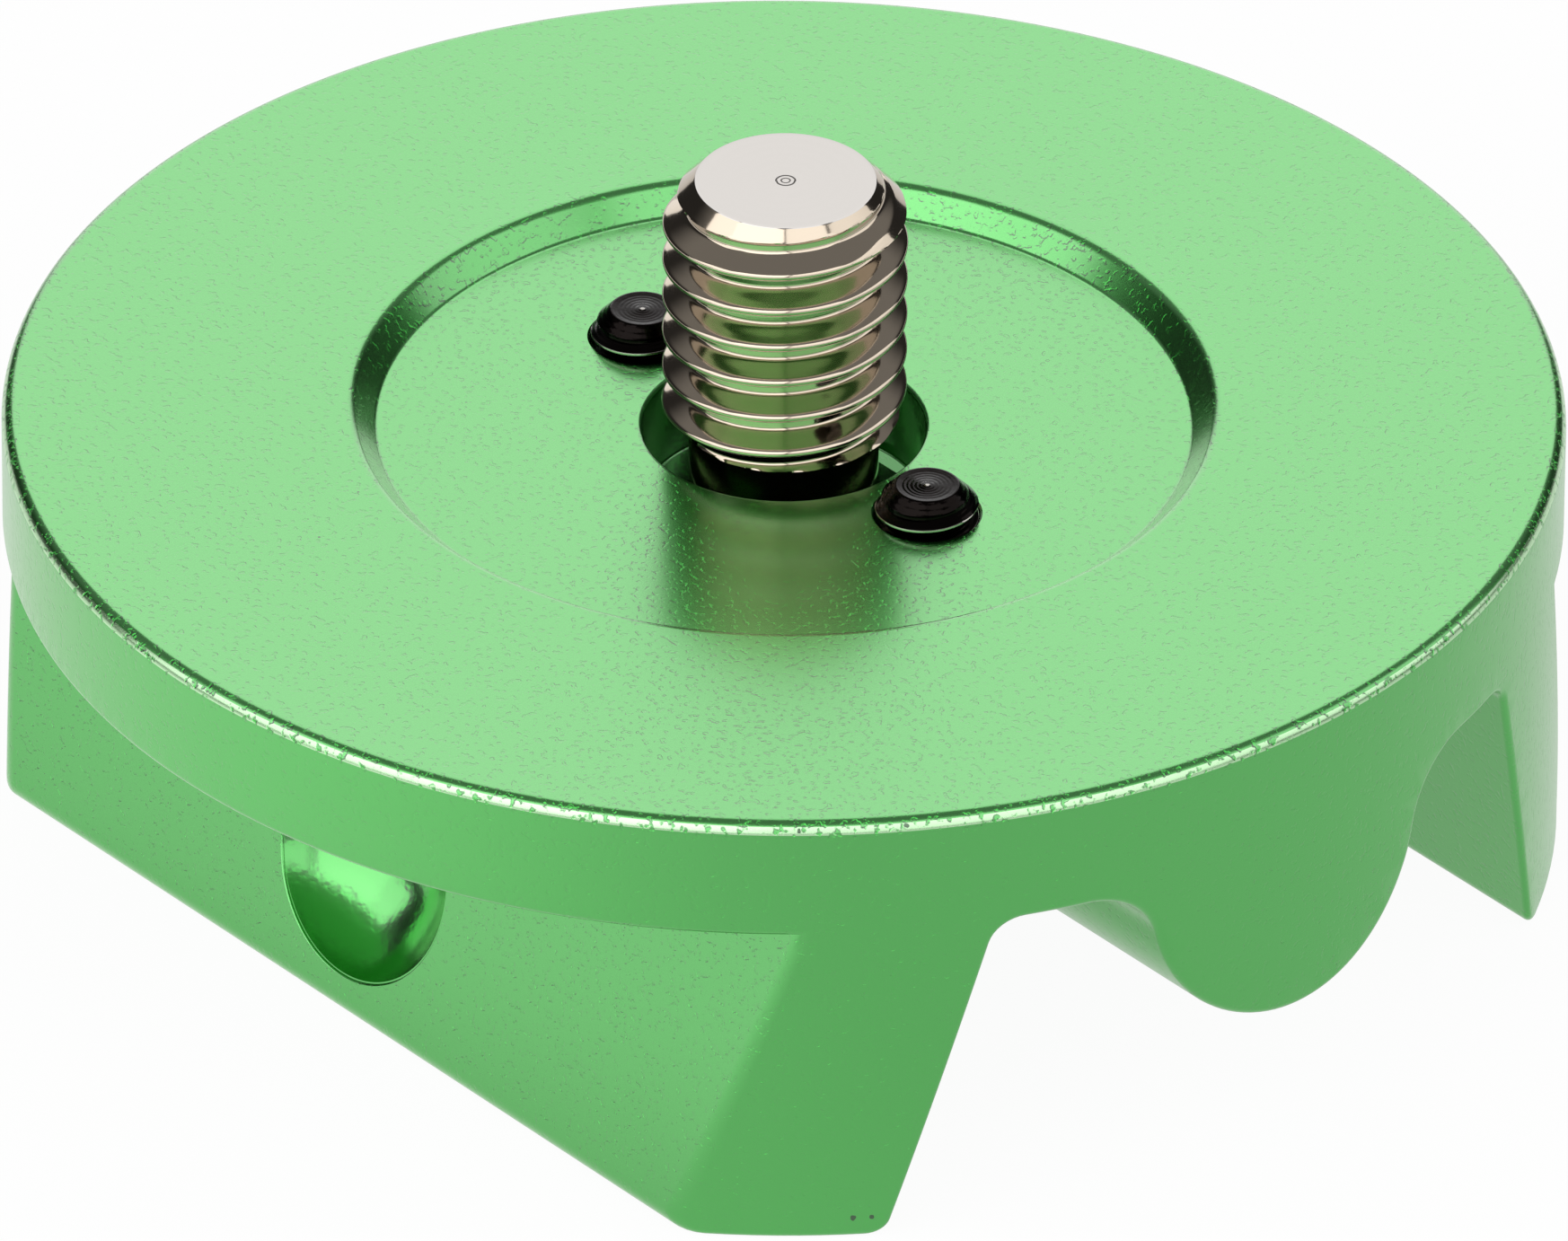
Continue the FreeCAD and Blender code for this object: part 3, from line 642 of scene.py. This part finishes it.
def thread_tree(material):
    """A thread with its lead-in cones, shaped from a grid whose rows climb one pitch in each turn."""
    tree = bpy.data.node_groups.new("cut_thread", "GeometryNodeTree")
    for name in ("Crest Radius", "Root Radius", "Pitch", "Bottom", "Top", "Tip Radius", "Tip Cone",
                 "Neck Radius", "Neck Cone"):
        tree.interface.new_socket(name, in_out="INPUT", socket_type="NodeSocketFloat")
    for name in ("Facets", "Rows", "Rows per Pitch"):
        tree.interface.new_socket(name, in_out="INPUT", socket_type="NodeSocketInt")
    tree.interface.new_socket("Mesh", in_out="OUTPUT", socket_type="NodeSocketGeometry")
    sizes = tree.nodes.new("NodeGroupInput").outputs

    def calc(operation, first, second=0.0, third=0.0):
        return calculate(tree, operation, first, second, third)

    columns = calc("ADD", sizes["Facets"], 1.0)
    lines = calc("ADD", sizes["Rows"], 1.0)
    grid = add(tree, "GeometryNodeMeshGrid", {"Size X": 1.0, "Size Y": 1.0, "Vertices X": columns,
                                              "Vertices Y": lines})
    flat = add(tree, "ShaderNodeSeparateXYZ", {0: add(tree, "GeometryNodeInputPosition").outputs[0]})
    around = calc("ADD", flat.outputs["X"], 0.5)
    row = calc("MULTIPLY", calc("ADD", flat.outputs["Y"], 0.5), sizes["Rows"])
    # The rows start one pitch below the thread
    climb = calc("ADD", calc("DIVIDE", row, sizes["Rows per Pitch"]), calc("SUBTRACT", around, 1.0))
    raw_height = calc("MULTIPLY_ADD", climb, sizes["Pitch"], sizes["Bottom"])
    height = add(tree, "ShaderNodeClamp", {"Value": raw_height, "Min": sizes["Bottom"],
                                           "Max": sizes["Top"]}).outputs[0]
    phase = calc("FRACT", calc("DIVIDE", calc("ROUND", row), sizes["Rows per Pitch"]))
    ridge = calc("ABSOLUTE", calc("MULTIPLY_ADD", phase, 2.0, -1.0))
    # A crest flat of an eighth of the pitch and a root flat of a quarter, with their corners rounded
    flank = calc("DIVIDE", calc("SUBTRACT", ridge, 0.25), 0.625)
    flank = calc("SMOOTH_MAX", flank, 0.0, ROOT_BLEND)
    flank = calc("SMOOTH_MIN", flank, 1.0, CREST_BLEND)
    depth = calc("SUBTRACT", sizes["Crest Radius"], sizes["Root Radius"])
    radius = calc("MULTIPLY_ADD", flank, depth, sizes["Root Radius"])
    tip_slope = calc("DIVIDE", calc("SUBTRACT", sizes["Crest Radius"], sizes["Tip Radius"]),
                     sizes["Tip Cone"])
    tip_limit = calc("MULTIPLY_ADD", calc("SUBTRACT", sizes["Top"], height), tip_slope, sizes["Tip Radius"])
    neck_slope = calc("DIVIDE", calc("SUBTRACT", sizes["Crest Radius"], sizes["Neck Radius"]),
                      sizes["Neck Cone"])
    neck_limit = calc("MULTIPLY_ADD", calc("SUBTRACT", height, sizes["Bottom"]), neck_slope,
                      sizes["Neck Radius"])
    radius = calc("MINIMUM", calc("MINIMUM", radius, tip_limit), neck_limit)
    turn = calc("MULTIPLY", around, 2 * math.pi)
    place = add(tree, "ShaderNodeCombineXYZ", {
        "X": calc("MULTIPLY", radius, calc("COSINE", turn)),
        "Y": calc("MULTIPLY", radius, calc("SINE", turn)), "Z": height})
    shaped = add(tree, "GeometryNodeSetPosition", {"Geometry": grid.outputs["Mesh"],
                                                   "Position": place.outputs[0]})
    closed = add(tree, "GeometryNodeMergeByDistance", {"Geometry": shaped.outputs[0],
                                                       "Distance": MEETING_DISTANCE * MM})
    real = add(tree, "GeometryNodeRealizeInstances", {"Geometry": closed.outputs[0]})
    painted = add(tree, "GeometryNodeSetMaterial", {"Geometry": real.outputs[0], "Material": material})
    tree.links.new(painted.outputs[0], tree.nodes.new("NodeGroupOutput").inputs["Mesh"])
    return tree


def cut_thread(name, tree, facets, fineness, crest, root, pitch, bottom, top, tip, tip_cone, neck,
               neck_cone):
    """A thread as a plain bmesh in millimetres, open at both ends."""
    carrier = bpy.data.objects.new(name, bpy.data.meshes.new(name))
    bpy.context.scene.collection.objects.link(carrier)
    modifier = carrier.modifiers.new("thread", "NODES")
    modifier.node_group = tree
    rows = math.ceil(((top - bottom) / pitch + 1) * fineness)
    values = {"Crest Radius": crest * MM, "Root Radius": root * MM, "Pitch": pitch * MM,
              "Bottom": bottom * MM, "Top": top * MM, "Tip Radius": tip * MM, "Tip Cone": tip_cone * MM,
              "Neck Radius": neck * MM, "Neck Cone": neck_cone * MM, "Facets": facets, "Rows": rows,
              "Rows per Pitch": fineness}
    for item in tree.interface.items_tree:
        if item.item_type == "SOCKET" and item.in_out == "INPUT":
            modifier[item.identifier] = values[item.name]
    settle(carrier)
    thread = bmesh.new()
    thread.from_mesh(carrier.data)
    thread.transform(Matrix.Scale(1 / MM, 4))
    bpy.data.objects.remove(carrier)
    return thread


def open_skin(outline, facets, tail=()):
    """Rings of an outline, then any further rings or poles."""
    return skin([circle_ring(radius, height, facets) for radius, height in outline] + list(tail))


def make_stud(tree):
    facets = STUD_FACETS
    thread = cut_thread("stud_thread", tree, facets, STUD_ROWS_PER_PITCH, STUD_CREST, STUD_ROOT, STUD_PITCH,
                        STUD_THREAD_BOTTOM, STUD_TOP - STUD_END_DROP, STUD_TIP, STUD_TIP_CHAMFER,
                        STUD_NECK, STUD_NECK_CHAMFER)
    end = open_skin([(STUD_TIP, STUD_TOP - STUD_END_DROP), (STUD_TIP - 0.03, STUD_TOP - 0.012),
                     (STUD_TIP - 0.07, STUD_TOP - 0.006), (STUD_TIP - 0.12, STUD_TOP - 0.006),
                     (0.4, STUD_TOP - 0.004), (0.36, STUD_TOP - 0.03), (0.32, STUD_TOP - 0.004),
                     (0.2, STUD_TOP - 0.004), (0.17, STUD_TOP - 0.024), (0.14, STUD_TOP - 0.004)],
                    facets, [[(0, 0, STUD_TOP)]])
    lower = open_skin([(STUD_NECK, STUD_THREAD_BOTTOM), (STUD_NECK, BORE_FLOOR + 0.4),
                       (STUD_NECK + 0.1, BORE_FLOOR + 0.1), (STUD_SHANK, BORE_FLOOR),
                       (STUD_SHANK, STUD_BOTTOM + 0.4), (STUD_SHANK - 0.4, STUD_BOTTOM)], facets,
                      [hexagon_ring(STUD_KEY + 0.3, STUD_BOTTOM, facets),
                       hexagon_ring(STUD_KEY, STUD_BOTTOM + 0.15, facets),
                       hexagon_ring(STUD_KEY, STUD_BOTTOM + STUD_KEY_DEPTH, facets),
                       [(0, 0, STUD_BOTTOM + STUD_KEY_DEPTH + 0.8)]])
    stud = piece_from(joined([thread, end, lower]), "stud_with_thread")
    smooth_faces(stud, 30)
    return stud


def make_set_screw(node, tree, place):
    facets = SET_SCREW_FACETS
    bottom = SET_SCREW_TOP - SET_SCREW_LENGTH
    thread = cut_thread(node + "_thread", tree, facets, SET_SCREW_ROWS_PER_PITCH, SET_SCREW_CREST,
                        SET_SCREW_ROOT, SET_SCREW_PITCH, bottom, SET_SCREW_TOP - SET_SCREW_END_DROP,
                        SET_SCREW_TIP, SET_SCREW_TIP_CHAMFER, SET_SCREW_ROOT - 0.1, 0.4)
    end = open_skin([(SET_SCREW_TIP, SET_SCREW_TOP - SET_SCREW_END_DROP),
                     (SET_SCREW_TIP - 0.04, SET_SCREW_TOP),
                     (1.12, SET_SCREW_TOP), (1.06, SET_SCREW_TOP - 0.025), (1.0, SET_SCREW_TOP - 0.03),
                     (0.14, SET_SCREW_TOP - 0.04), (0.08, SET_SCREW_TOP - 0.01)], facets,
                    [[(0, 0, SET_SCREW_TOP)]])
    socket = open_skin([(SET_SCREW_ROOT - 0.1, bottom)], facets,
                       [hexagon_ring(SET_SCREW_KEY, bottom + 0.05, facets),
                        hexagon_ring(SET_SCREW_KEY, bottom + SET_SCREW_KEY_DEPTH, facets),
                        [(0, 0, bottom + SET_SCREW_KEY_DEPTH + 0.4)]])
    screw = joined([thread, end, socket])
    screw.transform(Matrix.Translation((place, 0, 0)))
    piece = piece_from(screw, node + "_with_thread")
    smooth_faces(piece, 30)
    return piece


green = blasted_green_aluminium()
steel = turned_stainless_steel()
black = black_oxide_steel()

shown_as(make_adapter_plate(), "adapter_plate", "plate", green)
shown_as(make_stud(thread_tree(steel)), "stud", "plate", steel)
black_thread = thread_tree(black)
for node, place in SET_SCREW_PLACES.items():
    body = node.replace("set_screw_", "") + "_screw"
    shown_as(make_set_screw(node, black_thread, place), node, body, black)


# Studio

# The camera looks down at 32.5 degrees from near the dovetail's front end
CAMERA_TURN = math.radians(48.963)
CAMERA_ELEVATION = math.radians(32.498)
CAMERA_ROLL = math.radians(-0.42)
# Where the plate's top centre lies in the camera's view: right, down and ahead
CAMERA_OFFSET = Vector((0.002, -8.44, 1032.0))
FOCAL_PIXELS = 29972
PICTURE_WIDTH = 1746
SENSOR_WIDTH = 36

FLOOR_HALF_SIZE = 900
# A painted pool of light: how bright the floor glows in a mirror, near the left front and further off
LIT_FLOOR = 1.45
FAR_FLOOR = 0.88
WALL_GLOW = 0.03
CEILING_GLOW = 0.26

# Name, azimuth, distance, height, width, length and glow
SOFTBOXES = [("softbox_behind", 0, 350, 300, 310, 600, 1.34),
             ("softbox_near_left", -145, 400, 400, 530, 760, 2.1),
             ("softbox_left", -97, 400, 270, 210, 440, 1.8),
             ("softbox_near_right", 150, 400, 400, 440, 760, 1.6),
             ("softbox_right", 93, 400, 270, 430, 420, 1.3)]


def seen_from_camera(right, away, up):
    """A place or direction given as the camera's right, away from it and up, in the object's axes."""
    return Matrix.Rotation(CAMERA_TURN, 3, "Z") @ Vector((right, away, up))


def beside(azimuth, distance, height):
    """A place round the stud's axis. The azimuth is 0 away from the camera and grows to its right."""
    turn = math.radians(azimuth)
    return seen_from_camera(distance * math.sin(turn), distance * math.cos(turn), height)


def make_floor():
    """A white floor that looks white and keeps a soft shadow. In mirrors it glows with a painted pool of
    light beside the near left softbox.
    """
    sheet = bmesh.new()
    bmesh.ops.create_grid(sheet, x_segments=1, y_segments=1, size=FLOOR_HALF_SIZE)
    floor = piece_from(sheet, "floor")
    # A hair below the foot, so that the two surfaces don't flicker into each other
    floor.location.z = -0.02 * MM
    material, tree = new_material("white_paper_sweep")
    paper = add(tree, "ShaderNodeBsdfDiffuse", {"Color": linear("F2F2F2")})
    white = add(tree, "ShaderNodeEmission", {"Color": linear("FFFFFF"), "Strength": 1.0})
    seen = add(tree, "ShaderNodeMixShader", {0: 0.95, 1: paper.outputs[0], 2: white.outputs[0]})
    place = add(tree, "ShaderNodeTexCoord").outputs["Object"]
    # Painted pool of light: in mirrors the floor glows brightest near the left front
    lit = add(tree, "ShaderNodeVectorMath", {0: place, 1: seen_from_camera(-70, -35, 0) * MM},
              operation="DISTANCE")
    glow = add(tree, "ShaderNodeMapRange", {"Value": lit.outputs["Value"], "From Min": 15 * MM,
                                            "From Max": 85 * MM, "To Min": LIT_FLOOR, "To Max": FAR_FLOOR},
               interpolation_type="SMOOTHSTEP")
    lit_paper = add(tree, "ShaderNodeEmission", {"Color": linear("FFFFFF"), "Strength": glow.outputs[0]})
    mirrored = add(tree, "ShaderNodeMixShader", {0: 0.75, 1: paper.outputs[0], 2: lit_paper.outputs[0]})
    ray = add(tree, "ShaderNodeLightPath")
    in_mirror = calculate(tree, "MAXIMUM", ray.outputs["Is Glossy Ray"], ray.outputs["Is Transmission Ray"])
    unseen = add(tree, "ShaderNodeMixShader", {0: in_mirror, 1: paper.outputs[0], 2: mirrored.outputs[0]})
    mixed = add(tree, "ShaderNodeMixShader", {0: ray.outputs["Is Camera Ray"], 1: unseen.outputs[0],
                                              2: seen.outputs[0]})
    finish_material(tree, mixed.outputs[0])
    floor.data.materials.append(material)


def make_sky():
    """A room with dark walls and a lighter ceiling, which the camera sees as plain white."""
    world = bpy.data.worlds.new("studio")
    bpy.context.scene.world = world
    world.use_nodes = True
    tree = world.node_tree
    tree.nodes.clear()
    way = add(tree, "ShaderNodeSeparateXYZ", {0: add(tree, "ShaderNodeTexCoord").outputs["Generated"]})
    glow = add(tree, "ShaderNodeMapRange", {"Value": way.outputs["Z"], "From Min": 0.35, "From Max": 0.65,
                                            "To Min": WALL_GLOW, "To Max": CEILING_GLOW},
               interpolation_type="SMOOTHSTEP")
    room = add(tree, "ShaderNodeBackground", {"Color": linear("FFFFFF"), "Strength": glow.outputs[0]})
    ray = add(tree, "ShaderNodeLightPath")
    seen = add(tree, "ShaderNodeBackground", {"Color": linear("FFFFFF"), "Strength": 1.0})
    mixed = add(tree, "ShaderNodeMixShader", {0: ray.outputs["Is Camera Ray"], 1: room.outputs[0],
                                              2: seen.outputs[0]})
    add(tree, "ShaderNodeOutputWorld", {"Surface": mixed.outputs[0]})


def add_softbox(name, place, width, height, glow):
    """An upright flat lamp that faces the stud's axis. Its place is from the plate's top centre.
    A glow of 1 shows as white in a mirror. Lengths are millimetres."""
    lamp = bpy.data.lights.new(name, "AREA")
    lamp.shape = "RECTANGLE"
    lamp.size = width * MM
    lamp.size_y = height * MM
    lamp.energy = glow * math.pi * lamp.size * lamp.size_y
    softbox = bpy.data.objects.new(name, lamp)
    aim = Vector((-place.x, -place.y, 0))
    softbox.location = (place + Vector((0, 0, PLATE_TOP))) * MM
    softbox.rotation_euler = aim.to_track_quat("-Z", "Y").to_euler()
    softbox.visible_camera = False
    bpy.context.scene.collection.objects.link(softbox)


def make_camera():
    """Places the camera from where the plate's top centre lies in its view."""
    sight = Vector((0, math.cos(CAMERA_ELEVATION), -math.sin(CAMERA_ELEVATION)))
    level = Vector((1, 0, 0))
    down = Vector((0, -math.sin(CAMERA_ELEVATION), -math.cos(CAMERA_ELEVATION)))
    right_axis = math.cos(CAMERA_ROLL) * level + math.sin(CAMERA_ROLL) * down
    down_axis = -math.sin(CAMERA_ROLL) * level + math.cos(CAMERA_ROLL) * down
    spot = -(CAMERA_OFFSET.x * right_axis + CAMERA_OFFSET.y * down_axis + CAMERA_OFFSET.z * sight)
    turn = Matrix.Rotation(CAMERA_TURN, 3, "Z")
    axes = Matrix((turn @ right_axis, turn @ -down_axis, turn @ -sight)).transposed()
    lens = bpy.data.cameras.new("camera")
    lens.sensor_width = SENSOR_WIDTH
    lens.lens = SENSOR_WIDTH * FOCAL_PIXELS / PICTURE_WIDTH
    lens.clip_start = 0.05
    lens.clip_end = 10
    camera = bpy.data.objects.new("camera", lens)
    camera.matrix_world = Matrix.Translation((turn @ spot + Vector((0, 0, PLATE_TOP))) * MM) @ axes.to_4x4()
    bpy.context.scene.collection.objects.link(camera)
    bpy.context.scene.camera = camera


make_floor()
make_sky()
for name, azimuth, distance, height, width, length, glow in SOFTBOXES:
    add_softbox(name, beside(azimuth, distance, height), width, length, glow)
make_camera()
bpy.context.scene.view_settings.view_transform = "Standard"
